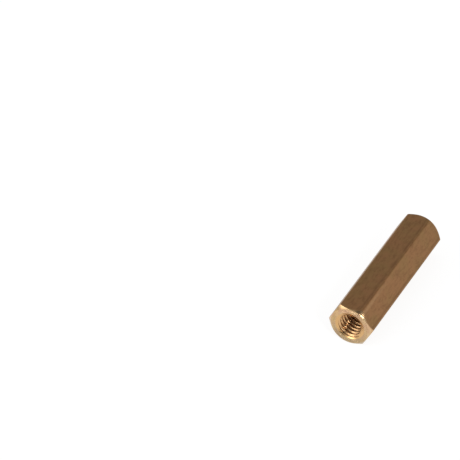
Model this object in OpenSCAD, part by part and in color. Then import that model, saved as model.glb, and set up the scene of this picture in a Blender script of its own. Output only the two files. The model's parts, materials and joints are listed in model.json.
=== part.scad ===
// Hex standoff: a spacer cut from hexagonal brass bar, tapped right through
// for a screw at each end. It lies on one flat, with its length along Y.
// Origin: middle of the flat that it lies on. Millimetres, +Z up.

/* [Bar] */
// Size of the bar across two opposite flats
across_flats = 4.5; // [4.4:0.1:8]
// Radius that drawing the bar leaves on its six long corners
corner_r = 0.2; // [0.05:0.05:0.5]
// Length from one end face to the other
length = 18; // [5:0.5:60]

/* [Turned ends] */
// Distance that the turned edge of an end face stops inside the flats
face_inset = 0.05; // [0.02:0.01:0.2]
// Slope of the turned corner chamfer, measured from the end face
chamfer_angle = 45; // [20:5:60]

/* [Threaded hole] */
// Nominal diameter of the screw thread
thread_d = 3; // [2:0.5:3.5]
// Pitch of the screw thread
thread_pitch = 0.5; // [0.35:0.05:0.7]
// How much wider than the thread the countersink is at its mouth
mouth_allowance = 0.3; // [0.1:0.1:0.6]
// Full angle of the countersink
countersink_angle = 120; // [60:10:130]

/* [Hidden] */

$fn = 96;
brass = [0.60, 0.45, 0.30];

// What a cutting tool runs past the face that it cuts
overrun = 1;

// Centres of the corner radii, and the tips of the corners, from the bar's axis
corner_reach = (across_flats / 2 - corner_r) / cos(30);
corner_tip = corner_reach + corner_r;
corner_steps = 6;

// The end face is a turned circle, and the chamfer falls from it past the corners
face_r = across_flats / 2 - face_inset;
stock_r = corner_tip + overrun;
chamfer_drop = (stock_r - face_r) * tan(chamfer_angle);

// The hole has its tapping size, with the thread's own relief left out
bore_d = thread_d - thread_pitch;
mouth_d = thread_d + mouth_allowance;
cone_slope = tan(countersink_angle / 2);
countersink_depth = (mouth_d - bore_d) / 2 / cone_slope;

// Points of one corner's round, from the flat before it to the flat after it
function corner_round(turn) = [
    for (step = [0 : corner_steps])
        let (heading = turn - 30 + 60 * step / corner_steps)
        corner_reach * [cos(turn), sin(turn)] + corner_r * [cos(heading), sin(heading)]
];

// Section of the drawn hexagonal bar, with its corners to the sides
module bar_section() {
    polygon([for (turn = [0 : 60 : 300]) each corner_round(turn)]);
}

// What the lathe leaves: a cylinder clear of the corners, with both ends coned
module turned_envelope() {
    rotate_extrude() polygon([
        [0, 0],
        [face_r, 0],
        [stock_r, chamfer_drop],
        [stock_r, length - chamfer_drop],
        [face_r, length],
        [0, length]
    ]);
}

// Countersink in the end face at z = 0, opening downwards
module countersink() {
    translate([0, 0, -overrun]) cylinder(
        h = overrun + countersink_depth,
        d1 = mouth_d + 2 * overrun * cone_slope,
        d2 = bore_d
    );
}

// Through hole with a countersink at each mouth
module tapped_hole() {
    translate([0, 0, -overrun]) cylinder(h = length + 2 * overrun, d = bore_d);
    countersink();
    translate([0, 0, length]) mirror([0, 0, 1]) countersink();
}

// The whole part is one piece of brass
module hex_standoff() {
    color(brass)
    translate([0, length / 2, across_flats / 2])
    rotate([90, 0, 0])
    difference() {
        intersection() {
            linear_extrude(height = length) bar_section();
            turned_envelope();
        }
        tapped_hole();
    }
}

hex_standoff();
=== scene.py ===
import json
import math

import bmesh
import bpy
from mathutils import Matrix, Vector


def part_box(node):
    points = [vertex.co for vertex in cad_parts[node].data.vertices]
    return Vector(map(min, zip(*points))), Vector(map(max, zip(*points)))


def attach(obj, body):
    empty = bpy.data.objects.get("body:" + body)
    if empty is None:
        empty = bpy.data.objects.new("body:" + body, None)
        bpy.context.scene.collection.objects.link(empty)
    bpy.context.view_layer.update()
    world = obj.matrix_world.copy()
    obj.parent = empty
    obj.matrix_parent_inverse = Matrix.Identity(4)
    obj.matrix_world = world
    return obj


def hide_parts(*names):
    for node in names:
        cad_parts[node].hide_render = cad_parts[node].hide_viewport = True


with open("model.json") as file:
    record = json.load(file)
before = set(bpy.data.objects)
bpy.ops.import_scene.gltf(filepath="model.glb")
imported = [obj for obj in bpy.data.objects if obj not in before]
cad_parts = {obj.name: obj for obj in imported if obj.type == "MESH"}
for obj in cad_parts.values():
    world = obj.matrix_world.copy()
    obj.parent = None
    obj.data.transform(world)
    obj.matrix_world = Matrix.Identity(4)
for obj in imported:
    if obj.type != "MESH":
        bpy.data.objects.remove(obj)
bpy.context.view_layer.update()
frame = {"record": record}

# ---------------------------------------------------------------- sizes of the standoff, in metres

MM = 0.001
QUARTER_TURN = math.pi / 2

low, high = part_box("hex_standoff")
CENTRE = (low + high) / 2
LENGTH = high.y - low.y
ACROSS_FLATS = high.z - low.z
CORNER_TIP = (high.x - low.x) / 2

# The bar is hexagonal, and half of each flat spans 30 degrees round its axis
SIDES = 6
HALF_SPAN = math.radians(30)
COS_30 = math.cos(HALF_SPAN)
TAN_30 = math.tan(HALF_SPAN)

# The rounding of the long corners follows from how far the tips stop short of a sharp hexagon
CORNER_R = (ACROSS_FLATS / 2 - CORNER_TIP * COS_30) / (1 - COS_30)
CORNER_SEGMENTS = 8

# The bevel profile that gives a true arc between two faces that meet at 120 degrees
ARC_PROFILE = ((1 + COS_30 / (1 + COS_30)) / 2) ** 2

# The turned ends: a 45 degree chamfer that leaves a round face just inside the flats
FACE_INSET = 0.05 * MM
FACE_R = ACROSS_FLATS / 2 - FACE_INSET
TURNED_STEPS = 192

# What a cutting tool runs past the metal that it cuts
OVERRUN = 1.0 * MM

# The tapped hole: an M3 x 0.5 right-hand thread of 60 degrees, with the crests at the drilled hole
mounts = {mount["name"]: mount for mount in frame["record"]["mounts"]}
CREST_R = mounts["near_thread"]["dims"]["r_mm"] * MM
THREAD_PITCH = 0.5 * MM
ROOT_R = CREST_R + THREAD_PITCH / 2
ROOT_FLAT = THREAD_PITCH / 8
FLANK_RUN = (ROOT_R - CREST_R) * TAN_30
CREST_FLAT = THREAD_PITCH - ROOT_FLAT - 2 * FLANK_RUN
CREST_ROUNDING = 0.06 * MM
ROOT_ROUNDING = 0.025 * MM
THREAD_ROUNDING_SEGMENTS = 4
THREAD_STEPS = 72

# Points nearer to each other than this are one
WELD_DISTANCE = 0.0005 * MM

# The countersinks: a mouth just wider than the thread, and the cone's full angle
MOUTH_ALLOWANCE = 0.15 * MM
MOUTH_R = ROOT_R + MOUTH_ALLOWANCE
COUNTERSINK_ANGLE = 120
CONE_SLOPE = math.tan(math.radians(COUNTERSINK_ANGLE / 2))

# ---------------------------------------------------------------- modelling by hand


def make_active(piece):
    """Leaves one piece selected and active."""
    bpy.ops.object.select_all(action="DESELECT")
    piece.select_set(True)
    bpy.context.view_layer.objects.active = piece


def pick(kind, wanted):
    """In edit mode, selects the vertices, edges or faces that are wanted, and nothing else."""
    bpy.ops.mesh.select_mode(type=kind)
    bpy.ops.mesh.select_all(action="DESELECT")
    mesh = bmesh.from_edit_mesh(bpy.context.edit_object.data)
    for item in {"VERT": mesh.verts, "EDGE": mesh.edges, "FACE": mesh.faces}[kind]:
        if wanted(item):
            item.select_set(True)
    bmesh.update_edit_mesh(bpy.context.edit_object.data)


def apply_place():
    """Puts the active piece's place into its mesh, so that its object sits at the origin."""
    bpy.ops.object.transform_apply(location=True, rotation=True, scale=True)


def add_bar(name, sides, radius, length, turn=0.0):
    """A cylinder or prism that lies along the standoff's own axis."""
    bpy.ops.object.select_all(action="DESELECT")
    bpy.ops.mesh.primitive_cylinder_add(
        vertices=sides, radius=radius, depth=length, location=CENTRE, rotation=(QUARTER_TURN, turn, 0)
    )
    bpy.context.object.name = name
    apply_place()
    return bpy.context.object


def weld():
    """In edit mode, joins points that lie on each other."""
    bpy.ops.mesh.select_mode(type="VERT")
    bpy.ops.mesh.select_all(action="SELECT")
    bpy.ops.mesh.remove_doubles(threshold=WELD_DISTANCE)


def cut(piece, tool, operation="DIFFERENCE"):
    """Cuts a piece with a tool, or keeps only what both hold, and throws the tool away."""
    boolean = piece.modifiers.new("cut", "BOOLEAN")
    boolean.operation = operation
    boolean.solver = "EXACT"
    boolean.object = tool
    make_active(piece)
    bpy.ops.object.modifier_apply(modifier=boolean.name)
    bpy.data.objects.remove(tool)
    bpy.ops.object.mode_set(mode="EDIT")
    weld()
    bpy.ops.mesh.dissolve_degenerate(threshold=WELD_DISTANCE)
    bpy.ops.object.mode_set(mode="OBJECT")


def runs_along_bar(edge):
    """Whether an edge is one of the long ones."""
    run = edge.verts[1].co - edge.verts[0].co
    across = math.hypot(run.x, run.z)
    return abs(run.y) > across


def hexagonal_bar():
    """Drawn hexagonal bar on one flat, with its six long corners rounded, a little too long."""
    sharp_corner_r = ACROSS_FLATS / 2 / COS_30
    bar = add_bar("threaded_standoff", SIDES, sharp_corner_r, LENGTH + 2 * OVERRUN, turn=HALF_SPAN)
    bpy.ops.object.mode_set(mode="EDIT")
    pick("EDGE", runs_along_bar)
    bpy.ops.mesh.bevel(
        offset_type="OFFSET",
        offset=CORNER_R * TAN_30,
        segments=CORNER_SEGMENTS,
        profile=ARC_PROFILE,
        affect="EDGES",
    )
    bpy.ops.object.mode_set(mode="OBJECT")
    return bar


def turned_envelope():
    """What the lathe leaves: a round blank of the full length, with a 45 degree chamfer at each end."""
    blank_r = CORNER_TIP + OVERRUN
    blank = add_bar("turned_envelope", TURNED_STEPS, blank_r, LENGTH, turn=math.pi / TURNED_STEPS)
    bpy.ops.object.mode_set(mode="EDIT")
    pick("EDGE", lambda edge: not runs_along_bar(edge))
    bpy.ops.mesh.bevel(offset_type="OFFSET", offset=blank_r - FACE_R, segments=1, affect="EDGES")
    bpy.ops.object.mode_set(mode="OBJECT")
    return blank


def countersink_tool(side):
    """A cone whose rim stands clear of one end face, and whose tip ends inside the hole."""
    rim_r = MOUTH_R + OVERRUN * CONE_SLOPE
    tip_r = CREST_R / 2
    depth = (rim_r - tip_r) / CONE_SLOPE
    rim_y = side * (LENGTH / 2 + OVERRUN)
    place = CENTRE + Vector((0, rim_y - side * depth / 2, 0))
    bpy.ops.object.select_all(action="DESELECT")
    bpy.ops.mesh.primitive_cone_add(
        vertices=TURNED_STEPS,
        radius1=rim_r,
        radius2=tip_r,
        depth=depth,
        location=place,
        rotation=(side * QUARTER_TURN, 0, 0),
    )
    apply_place()
    return bpy.context.object


def is_corner(vertex, reach):
    """Whether a point of the outline lies this far out, and isn't one of its two ends."""
    return len(vertex.link_edges) == 2 and abs(vertex.co.x - reach) < WELD_DISTANCE


def thread_form():
    """One pitch of the tap's outline as a chain of edges, from mid crest to mid crest, out and back."""
    depth = ROOT_R - CREST_R
    steps = [
        (0, CREST_FLAT / 2),
        (depth, FLANK_RUN),
        (0, ROOT_FLAT),
        (-depth, FLANK_RUN),
        (0, CREST_FLAT / 2),
    ]
    bpy.ops.object.select_all(action="DESELECT")
    bpy.ops.mesh.primitive_plane_add(size=MM)
    outline = bpy.context.object
    bpy.ops.object.mode_set(mode="EDIT")
    pick("VERT", lambda vertex: True)
    bpy.ops.mesh.merge(type="CENTER")
    bpy.ops.transform.translate(value=(CREST_R, 0, 0))
    for outwards, along in steps:
        bpy.ops.mesh.extrude_region_move(TRANSFORM_OT_translate={"value": (outwards, along, 0)})
    for reach, rounding in ((ROOT_R, ROOT_ROUNDING), (CREST_R, CREST_ROUNDING)):
        pick("VERT", lambda vertex: is_corner(vertex, reach))
        bpy.ops.mesh.bevel(
            offset_type="OFFSET",
            offset=rounding,
            segments=THREAD_ROUNDING_SEGMENTS,
            affect="VERTICES",
        )
    bpy.ops.object.mode_set(mode="OBJECT")
    return outline


def tap_tool():
    """A right-hand tap that is longer than the bar, closed at both ends by a short cone."""
    turns = math.ceil((LENGTH + 2 * OVERRUN) / THREAD_PITCH)
    tap = thread_form()
    screw = tap.modifiers.new("helix", "SCREW")
    screw.axis = "Y"
    screw.screw_offset = THREAD_PITCH
    screw.iterations = turns
    screw.steps = THREAD_STEPS
    screw.render_steps = THREAD_STEPS
    make_active(tap)
    bpy.ops.object.modifier_apply(modifier=screw.name)
    tap.location = CENTRE - Vector((0, (turns + 1) * THREAD_PITCH / 2, 0))
    apply_place()
    bpy.ops.object.mode_set(mode="EDIT")
    weld()
    for side in (-1, 1):
        pick("EDGE", lambda edge: edge.is_boundary and side * edge.verts[0].co.y > 0)
        bpy.ops.mesh.extrude_region_move(TRANSFORM_OT_translate={"value": (0, side * THREAD_PITCH, 0)})
        bpy.ops.mesh.merge(type="CENTER")
    bpy.ops.mesh.select_all(action="SELECT")
    bpy.ops.mesh.normals_make_consistent(inside=False)
    bpy.ops.object.mode_set(mode="OBJECT")
    return tap


def threaded_standoff():
    """The whole standoff: hexagonal bar, turned at both ends, countersunk and tapped right through."""
    standoff = hexagonal_bar()
    cut(standoff, turned_envelope(), "INTERSECT")
    for side in (-1, 1):
        cut(standoff, countersink_tool(side))
    cut(standoff, tap_tool())
    return standoff


# ---------------------------------------------------------------- shader graphs


class Wire:
    """The output of a shader node. Arithmetic on it adds Math nodes."""

    def __init__(self, graph, socket):
        self.graph = graph
        self.socket = socket

    def __add__(self, other):
        return self.graph.maths("ADD", self, other)

    def __sub__(self, other):
        return self.graph.maths("SUBTRACT", self, other)

    def __rsub__(self, other):
        return self.graph.maths("SUBTRACT", other, self)

    def __mul__(self, other):
        return self.graph.maths("MULTIPLY", self, other)

    __radd__ = __add__
    __rmul__ = __mul__


# Where the Mix node keeps its share, its two colours and the colour that it gives
MIX_SHARE = 0
MIX_FIRST = 6
MIX_SECOND = 7
MIX_RESULT = 2


class Graph:
    """One node tree, of a material or of the world."""

    def __init__(self, owner):
        owner.use_nodes = True
        self.tree = owner.node_tree
        self.tree.nodes.clear()

    def add(self, kind, settings=None, inputs=None, output=0):
        """Adds a node, makes its settings, and then fills its sockets with values or links."""
        node = self.tree.nodes.new(kind)
        for name, value in (settings or {}).items():
            setattr(node, name, value)
        for name, value in (inputs or {}).items():
            if isinstance(value, Wire):
                self.tree.links.new(value.socket, node.inputs[name])
            else:
                node.inputs[name].default_value = value
        return Wire(self, node.outputs[output]) if node.outputs else None

    def maths(self, operation, *values):
        return self.add("ShaderNodeMath", {"operation": operation}, dict(enumerate(values)))

    def vectors(self, operation, inputs, output="Vector"):
        return self.add("ShaderNodeVectorMath", {"operation": operation}, inputs, output)

    def blend(self, share, first, second):
        """The first colour, passing into the second as the share goes from 0 to 1."""
        colours = {MIX_SHARE: share, MIX_FIRST: first, MIX_SECOND: second}
        return self.add("ShaderNodeMix", {"data_type": "RGBA"}, colours, output=MIX_RESULT)

    def fade(self, value, start, end):
        """A share that rises smoothly from 0 at the start to 1 at the end."""
        settings = {"interpolation_type": "SMOOTHSTEP"}
        limits = {"Value": value, "From Min": start, "From Max": end}
        return self.add("ShaderNodeMapRange", settings, limits)

    def noise(self, at, scale, detail=2.0, roughness=0.5):
        inputs = {"Vector": at, "Scale": scale, "Detail": detail, "Roughness": roughness}
        return self.add("ShaderNodeTexNoise", inputs=inputs)

    def bump(self, height, distance):
        inputs = {"Height": height, "Distance": distance}
        return self.add("ShaderNodeBump", inputs=inputs)


class Finish(Graph):
    """A metal finish, with places on the standoff in millimetres from the middle of the bar."""

    def __init__(self, name):
        self.material = bpy.data.materials.new(name)
        super().__init__(self.material)
        place = self.add("ShaderNodeTexCoord", output="Object")
        self.at = self.add(
            "ShaderNodeMapping",
            {"vector_type": "TEXTURE"},
            {"Vector": place, "Location": CENTRE, "Scale": (MM, MM, MM)},
        )
        self.x = self.add("ShaderNodeSeparateXYZ", inputs={"Vector": self.at}, output="X")
        self.y = self.add("ShaderNodeSeparateXYZ", inputs={"Vector": self.at}, output="Y")
        self.z = self.add("ShaderNodeSeparateXYZ", inputs={"Vector": self.at}, output="Z")
        self.across = self.vectors("MULTIPLY", {0: self.at, 1: (1, 0, 1)})
        self.radius = self.vectors("LENGTH", {0: self.across}, output="Value")

    def stretched_noise(self, scales, detail, roughness=0.5):
        """Noise with each axis scaled by itself."""
        place = self.add("ShaderNodeMapping", inputs={"Vector": self.at, "Scale": scales})
        return self.noise(place, 1.0, detail, roughness)

    def along_flat(self):
        """How far a place on any flat lies from the flat's middle line, clockwise from the near end."""
        turn = self.maths("ARCTAN2", self.x, self.z)
        folded = self.maths("WRAP", turn, HALF_SPAN, -HALF_SPAN)
        return self.radius * self.maths("SINE", folded)

    def along(self, angle):
        """How far out a place lies in one direction. The angle runs from straight up towards +X."""
        turn = math.radians(angle)
        outwards = (math.sin(turn), 0, math.cos(turn))
        return self.vectors("DOT_PRODUCT", {0: self.at, 1: outwards}, output="Value")

    def tool_marks(self, value, pitch):
        """Uneven ridges side by side, such as a tool leaves on what turns under it."""
        inputs = {"W": value, "Scale": 1 / pitch, "Detail": 2.0}
        return self.add("ShaderNodeTexNoise", {"noise_dimensions": "1D"}, inputs)

    def swept(self, across_scale, round_scale):
        """Noise drawn out round the bar's axis, as turning leaves it."""
        unit = self.vectors("NORMALIZE", {0: self.across})
        round_part = self.vectors("SCALE", {0: unit, "Scale": round_scale})
        out_part = self.add("ShaderNodeCombineXYZ", inputs={"Y": self.radius * across_scale})
        place = self.vectors("ADD", {0: round_part, 1: out_part})
        return self.noise(place, 1.0, detail=4.0, roughness=0.6)

    def metal(self, colour, roughness, normal):
        inputs = {"Base Color": colour, "Metallic": 1.0, "Roughness": roughness, "Normal": normal}
        surface = self.add("ShaderNodeBsdfPrincipled", inputs=inputs)
        self.add("ShaderNodeOutputMaterial", inputs={"Surface": surface})
        return self.material


# Places in the finishes are in millimetres, like the Finish's own x, y, z and radius.
# A pair of limits is where a share starts to rise, and where it is full.
HALF_LENGTH = LENGTH / 2 / MM
FLAT_R = ACROSS_FLATS / 2 / MM
FACE_EDGE = FACE_R / MM
MOUTH_EDGE = MOUTH_R / MM

PATCH_SCALE = 0.45
PATCH_LIMITS = (0.35, 0.65)
SPECK_SCALE = 3.5
SPECK_LIMITS = (0.62, 0.78)
SPECK_SHARE = 0.35
GRAIN_STRETCH = (3.2, 1.1, 3.2)
GRAIN_LIMITS = (0.42, 0.70)
GRAIN_SHARE = 0.60
# A painted dark line of shade along one edge of each flat
EDGE_SHADE_START = (0.80, 0.96)
EDGE_SHADE_END = (1.06, 1.16)
EDGE_SHADE_SHARE = 0.60
BREAK_STRETCH = (0.6, 0.35, 0.6)
BREAK_LIMITS = (0.30, 0.62)
RIDGE_ANGLE = 30
# Where the painted highlight lies along one long corner, and how strong it is
RIDGE_HIGHLIGHT_START = (0.05, 0.25)
RIDGE_HIGHLIGHT_END = (0.30, 0.55)
RIDGE_HIGHLIGHT_DEPTH = 0.4
RIDGE_HIGHLIGHT_RUN = (1.2, 8.0)
RIDGE_HIGHLIGHT_SHARE = 0.36
RIM_WEAR_END = (0.04, 0.20)
RIM_WEAR_SHARE = 0.25
DRAWN_LINE_STRETCH = (9, 0.12, 9)
DRAWN_LINE_HEIGHT = 0.002
DRAWN_LINE_ROUGHER = 0.12
DRAWN_ROUGH = 0.36
WORN_SMOOTHER = 0.1

SWEPT_ACROSS = 2.4
SWEPT_ROUND = 1.1
PALE_LIMITS = (0.50, 0.68)
PALE_SHARE = 0.8
OLIVE_END = (0.32, 0.46)
OLIVE_SHARE = 0.7
CLOUD_SCALE = 1.1
CLOUD_LIMITS = (0.38, 0.62)
MOUTH_END = (MOUTH_EDGE - 0.02, MOUTH_EDGE + 0.06)
MOUTH_YELLOW_SHARE = 0.9
MOUTH_MARK_SHARE = 0.2
MOUTH_ROUGHER = 0.06
CHAMFER_LIMITS = (FACE_EDGE - 0.1, FACE_EDGE + 0.1)
CHAMFER_MARK_SHARE = 0.12
CHAMFER_ROUGHER = 0.04
# Where the painted shade over the lower part of the end faces lies, and how strong it is
LOW_SHADE_ANGLE = 185
LOW_SHADE_LIMITS = (-1.2, FLAT_R)
LOW_SHADE_SHARE = 0.65
TURNED_MARK_PITCH = 0.05
TURNED_MARK_HEIGHT = 0.040
TURNED_ROUGH = 0.12
TURNED_STAIN_SCALE = 4.0
TURNED_STAIN_ROUGHER = 0.08

# Where the painted shade in the thread's roots begins and is full
ROOT_SHADE_LIMITS = (1.40, 1.50)
TAPPED_MARK_PITCH = 0.05
TAPPED_MARK_HEIGHT = 0.024
TAPPED_ROUGH = 0.20
TAPPED_STAIN_SCALE = 6.0
TAPPED_STAIN_ROUGHER = 0.06


def drawn_brass():
    """The flats: drawn bar that has toned to a dull brown, with fine lines along its length."""
    olive_brown = (0.298, 0.167, 0.064, 1)
    red_brown = (0.324, 0.162, 0.068, 1)
    dark_brown = (0.198, 0.097, 0.038, 1)
    pale_highlight_and_wear = (0.47, 0.290, 0.145, 1)
    finish = Finish("drawn_brass")

    # Soft patches of two browns, with darker specks and a darker grain along the bar
    patches = finish.noise(finish.at, PATCH_SCALE, detail=3.0)
    toned = finish.blend(finish.fade(patches, *PATCH_LIMITS), olive_brown, red_brown)
    specks = finish.noise(finish.at, SPECK_SCALE, detail=4.0)
    toned = finish.blend(finish.fade(specks, *SPECK_LIMITS) * SPECK_SHARE, toned, dark_brown)
    grain = finish.stretched_noise(GRAIN_STRETCH, detail=5.0, roughness=0.7)
    toned = finish.blend(finish.fade(grain, *GRAIN_LIMITS) * GRAIN_SHARE, toned, dark_brown)

    # Painted shade: a darker line just inside one edge of each flat, broken up by noise
    aside = finish.along_flat()
    line = finish.fade(aside, *EDGE_SHADE_START) * (1 - finish.fade(aside, *EDGE_SHADE_END))
    breaks = finish.stretched_noise(BREAK_STRETCH, detail=4.0, roughness=0.6)
    line = line * finish.fade(breaks, *BREAK_LIMITS)
    toned = finish.blend(line * EDGE_SHADE_SHARE, toned, dark_brown)

    # Painted highlight: one long corner is painted lighter from the near end, a little to the side of
    # its tip, where the metal is also smoother
    beside = finish.along(RIDGE_ANGLE + 90)
    band = finish.fade(beside, *RIDGE_HIGHLIGHT_START) * (1 - finish.fade(beside, *RIDGE_HIGHLIGHT_END))
    outside = finish.fade(finish.along(RIDGE_ANGLE), FLAT_R - RIDGE_HIGHLIGHT_DEPTH, FLAT_R)
    run = 1 - finish.fade(finish.y + HALF_LENGTH, *RIDGE_HIGHLIGHT_RUN)
    highlight_and_wear_share = band * outside * run * RIDGE_HIGHLIGHT_SHARE

    # Wear from handling lightens the turned rims of the flats, and reaches deeper where the bar is
    # wider
    from_end = HALF_LENGTH - finish.maths("ABSOLUTE", finish.y)
    past_rim = from_end - finish.radius + FACE_EDGE
    rim_wear = 1 - finish.fade(past_rim, *RIM_WEAR_END)
    highlight_and_wear_share = finish.maths("MAXIMUM", highlight_and_wear_share, rim_wear * RIM_WEAR_SHARE)

    lines = finish.stretched_noise(DRAWN_LINE_STRETCH, detail=4.0)
    # The painted corner highlight and the rim wear share one lighter colour and smoother metal
    colour = finish.blend(highlight_and_wear_share, toned, pale_highlight_and_wear)
    roughness = DRAWN_ROUGH + DRAWN_LINE_ROUGHER * lines - highlight_and_wear_share * WORN_SMOOTHER
    return finish.metal(colour, roughness, finish.bump(lines, DRAWN_LINE_HEIGHT * MM))


def turned_brass():
    """The faces, chamfers and countersinks: fresh bright metal with the rings of the lathe tool."""
    pale = (0.75, 0.540, 0.308, 1)
    sandy = (0.65, 0.432, 0.221, 1)
    pink = (0.59, 0.356, 0.211, 1)
    olive = (0.50, 0.346, 0.140, 1)
    yellow = (0.66, 0.400, 0.170, 1)
    low_shade = (0.40, 0.310, 0.175, 1)
    finish = Finish("turned_brass")
    mouth = 1 - finish.fade(finish.radius, *MOUTH_END)
    chamfer = finish.fade(finish.radius, *CHAMFER_LIMITS)

    # Clouds of two tones, with paler and greener streaks drawn out round the hole
    clouds = finish.noise(finish.at, CLOUD_SCALE, detail=4.0, roughness=0.6)
    colour = finish.blend(finish.fade(clouds, *CLOUD_LIMITS), sandy, pink)
    swept = finish.swept(SWEPT_ACROSS, SWEPT_ROUND)
    colour = finish.blend(finish.fade(swept, *PALE_LIMITS) * PALE_SHARE, colour, pale)
    colour = finish.blend((1 - finish.fade(swept, *OLIVE_END)) * OLIVE_SHARE, colour, olive)

    # The countersink is yellower, and painted shade darkens the lower part of the face
    colour = finish.blend(mouth * MOUTH_YELLOW_SHARE, colour, yellow)
    low = finish.fade(finish.along(LOW_SHADE_ANGLE), *LOW_SHADE_LIMITS)
    colour = finish.blend(low * (1 - mouth) * LOW_SHADE_SHARE, colour, low_shade)

    # The tool has left less marks on the chamfers and in the countersink than on the face
    on_chamfer = 1 - (1 - CHAMFER_MARK_SHARE) * chamfer
    in_mouth = 1 - (1 - MOUTH_MARK_SHARE) * mouth
    marks = finish.tool_marks(finish.radius, TURNED_MARK_PITCH) * (on_chamfer * in_mouth)

    stains = finish.noise(finish.at, TURNED_STAIN_SCALE)
    roughness = TURNED_ROUGH + TURNED_STAIN_ROUGHER * stains
    roughness = roughness + mouth * MOUTH_ROUGHER + chamfer * CHAMFER_ROUGHER
    return finish.metal(colour, roughness, finish.bump(marks, TURNED_MARK_HEIGHT * MM))


def tapped_brass():
    """The thread: cut metal, with painted shade darkening it down in its roots."""
    crest = (0.64, 0.385, 0.185, 1)
    root = (0.20, 0.080, 0.026, 1)
    finish = Finish("tapped_brass")
    # Painted shade: the roots are coloured far darker than the crests
    colour = finish.blend(finish.fade(finish.radius, *ROOT_SHADE_LIMITS), crest, root)
    marks = finish.tool_marks(finish.y, TAPPED_MARK_PITCH)
    stains = finish.noise(finish.at, TAPPED_STAIN_SCALE)
    roughness = TAPPED_ROUGH + TAPPED_STAIN_ROUGHER * stains
    return finish.metal(colour, roughness, finish.bump(marks, TAPPED_MARK_HEIGHT * MM))


# How near the countersink's cone, or the end, a face has to lie to count as turned
TURNED_MARGIN = 0.01 * MM

# How far the direction that a drawn face looks in may lean along the bar
DRAWN_LEAN = 0.05


def lay_finishes(piece):
    """Gives each face the finish that its place asks for."""
    for finish in (drawn_brass(), turned_brass(), tapped_brass()):
        piece.data.materials.append(finish)
    drawn, turned, tapped = range(3)
    for face in piece.data.polygons:
        out = face.center - CENTRE
        reach = math.hypot(out.x, out.z)
        from_end = LENGTH / 2 - abs(out.y)
        off_cone = abs(reach - MOUTH_R + from_end * CONE_SLOPE)
        if abs(face.normal.y) < DRAWN_LEAN and reach > MOUTH_R:
            face.material_index = drawn
        elif reach < ROOT_R and min(from_end, off_cone) > TURNED_MARGIN:
            face.material_index = tapped
        else:
            face.material_index = turned


def parts_finishes(edge):
    """Whether an edge lies between two finishes."""
    return len({face.material_index for face in edge.link_faces}) > 1


CRISP_ANGLE = math.radians(30)
FLAT_FACE_WEIGHT = 100


def smooth_piece(piece):
    """Rounds shade smooth, edges stay crisp, and the flats keep their own flat normals."""
    make_active(piece)
    bpy.ops.object.shade_smooth_by_angle(angle=CRISP_ANGLE)
    bpy.ops.object.mode_set(mode="EDIT")
    pick("EDGE", parts_finishes)
    bpy.ops.mesh.mark_sharp()
    bpy.ops.object.mode_set(mode="OBJECT")
    weighted = piece.modifiers.new("flat faces", "WEIGHTED_NORMAL")
    weighted.keep_sharp = True
    weighted.weight = FLAT_FACE_WEIGHT
    bpy.ops.object.modifier_apply(modifier=weighted.name)


# ---------------------------------------------------------------- studio


def direction(azimuth, elevation):
    """From the standoff outwards. Azimuth 0 looks at its near end, and rises towards +X."""
    turn = math.radians(azimuth)
    rise = math.radians(elevation)
    return Vector((math.sin(turn) * math.cos(rise), -math.cos(turn) * math.cos(rise), math.sin(rise)))


VIEW_AZIMUTH = 24.25
VIEW_ELEVATION = 38.4
VIEW_ROLL = 0.6
VIEW_DISTANCE = 436.5 * MM
IMAGE_SIDE = 460
FOCAL_PIXELS = 4086
TARGET_PIXEL = (384.45, 279.35)
TARGET_BEFORE_CENTRE = 0.225 * MM
SENSOR_WIDTH = 36
CLIP_START = 10 * MM


def set_camera():
    """A long lens that has the standoff where it lies in the picture, off the middle."""
    back = direction(VIEW_AZIMUTH, VIEW_ELEVATION)
    right = Vector((0, 0, 1)).cross(back).normalized()
    up = back.cross(right)
    roll = Matrix.Rotation(math.radians(VIEW_ROLL), 3, back)
    axes = Matrix((roll @ right, roll @ up, back)).transposed()
    aside = TARGET_PIXEL[0] - IMAGE_SIDE / 2
    above = IMAGE_SIDE / 2 - TARGET_PIXEL[1]
    towards = axes @ Vector((aside, above, -FOCAL_PIXELS))
    swing = towards.rotation_difference(-back)
    target = CENTRE - Vector((0, TARGET_BEFORE_CENTRE, 0))
    bpy.ops.object.select_all(action="DESELECT")
    bpy.ops.object.camera_add(location=target + VIEW_DISTANCE * back)
    camera = bpy.context.object
    camera.rotation_euler = (swing.to_matrix() @ axes).to_euler()
    camera.data.sensor_width = SENSOR_WIDTH
    camera.data.lens = FOCAL_PIXELS / IMAGE_SIDE * SENSOR_WIDTH
    camera.data.clip_start = CLIP_START
    bpy.context.scene.camera = camera


LAMP_DISTANCE = 0.6


def add_softbox(name, azimuth, elevation, width, height, watts):
    """A rectangular lamp that faces the standoff, with its width level."""
    away = direction(azimuth, elevation)
    bpy.ops.object.select_all(action="DESELECT")
    bpy.ops.object.light_add(type="AREA", location=CENTRE + LAMP_DISTANCE * away)
    lamp = bpy.context.object
    lamp.name = name
    lamp.rotation_euler = away.to_track_quat("Z", "Y").to_euler()
    lamp.data.shape = "RECTANGLE"
    lamp.data.size = width
    lamp.data.size_y = height
    lamp.data.energy = watts


FLOOR_SIDE = 6.0
FLOOR_COLOUR = (0.80, 0.80, 0.80, 1)
FLOOR_GLOW_SHARE = 0.75
FLOOR_GLOW = 1.17


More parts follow.
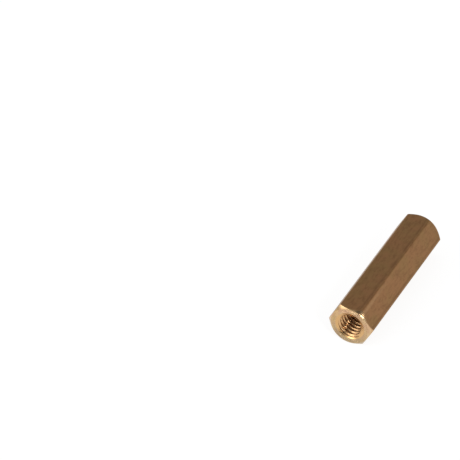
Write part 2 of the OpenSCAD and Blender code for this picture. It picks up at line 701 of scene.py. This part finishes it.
def lay_floor():
    """A pale floor that shows white, and keeps a soft shadow of the standoff."""
    bpy.ops.object.select_all(action="DESELECT")
    bpy.ops.mesh.primitive_plane_add(size=FLOOR_SIDE)
    floor = bpy.context.object
    floor.name = "floor"
    material = bpy.data.materials.new("pale_floor")
    graph = Graph(material)
    seen = graph.add("ShaderNodeLightPath", output="Is Camera Ray")
    mirrored = graph.add("ShaderNodeLightPath", output="Is Glossy Ray")
    through = graph.add("ShaderNodeLightPath", output="Is Transmission Ray")
    shown = graph.maths("MAXIMUM", graph.maths("MAXIMUM", seen, mirrored), through)
    matt = graph.add("ShaderNodeBsdfDiffuse", inputs={"Color": FLOOR_COLOUR})
    glow = graph.add("ShaderNodeEmission", inputs={"Strength": FLOOR_GLOW})
    surface = graph.add("ShaderNodeMixShader", inputs={0: shown * FLOOR_GLOW_SHARE, 1: matt, 2: glow})
    graph.add("ShaderNodeOutputMaterial", inputs={"Surface": surface})
    floor.data.materials.append(material)


WALL_LEVEL = 0.95
CEILING_LEVEL = 0.60
CEILING_START = 0.35
CEILING_END = 0.65
SCREEN_AZIMUTH = 30
SCREEN_OUTER = 30
SCREEN_INNER = 20
SCREEN_TOP_START = 0.80
SCREEN_TOP_END = 0.92
SCREEN_SHADE = 0.85


def light_room():
    """White walls all round, a greyer ceiling, and a dark upright screen in front of the near end."""
    world = bpy.data.worlds.new("studio")
    bpy.context.scene.world = world
    graph = Graph(world)
    towards = graph.add("ShaderNodeTexCoord", output="Generated")
    rise = graph.add("ShaderNodeSeparateXYZ", inputs={"Vector": towards}, output="Z")
    ceiling = graph.fade(rise, CEILING_START, CEILING_END)
    level = WALL_LEVEL - ceiling * (WALL_LEVEL - CEILING_LEVEL)
    level_part = graph.vectors("MULTIPLY", {0: towards, 1: (1, 1, 0)})
    heading = graph.vectors("NORMALIZE", {0: level_part})
    screen_way = direction(SCREEN_AZIMUTH, 0)
    facing = graph.vectors("DOT_PRODUCT", {0: heading, 1: screen_way}, output="Value")
    side_edges = [math.cos(math.radians(angle)) for angle in (SCREEN_OUTER, SCREEN_INNER)]
    below_top = 1 - graph.fade(rise, SCREEN_TOP_START, SCREEN_TOP_END)
    screen = graph.fade(facing, *side_edges) * below_top
    shaded = level * (1 - SCREEN_SHADE * screen)
    walls = graph.add("ShaderNodeBackground", inputs={"Strength": shaded})
    graph.add("ShaderNodeOutputWorld", inputs={"Surface": walls})


# ---------------------------------------------------------------- the standoff in its studio

standoff = threaded_standoff()
lay_finishes(standoff)
smooth_piece(standoff)
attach(standoff, "root")
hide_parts("hex_standoff")

set_camera()
lay_floor()
light_room()
add_softbox("key_softbox", azimuth=51, elevation=35, width=0.12, height=0.12, watts=1.1)
add_softbox("fill_softbox", azimuth=-50, elevation=33, width=0.38, height=0.28, watts=0.6)
add_softbox("front_softbox", azimuth=-25, elevation=15, width=0.26, height=0.16, watts=0.5)
bpy.context.scene.view_settings.view_transform = "Standard"
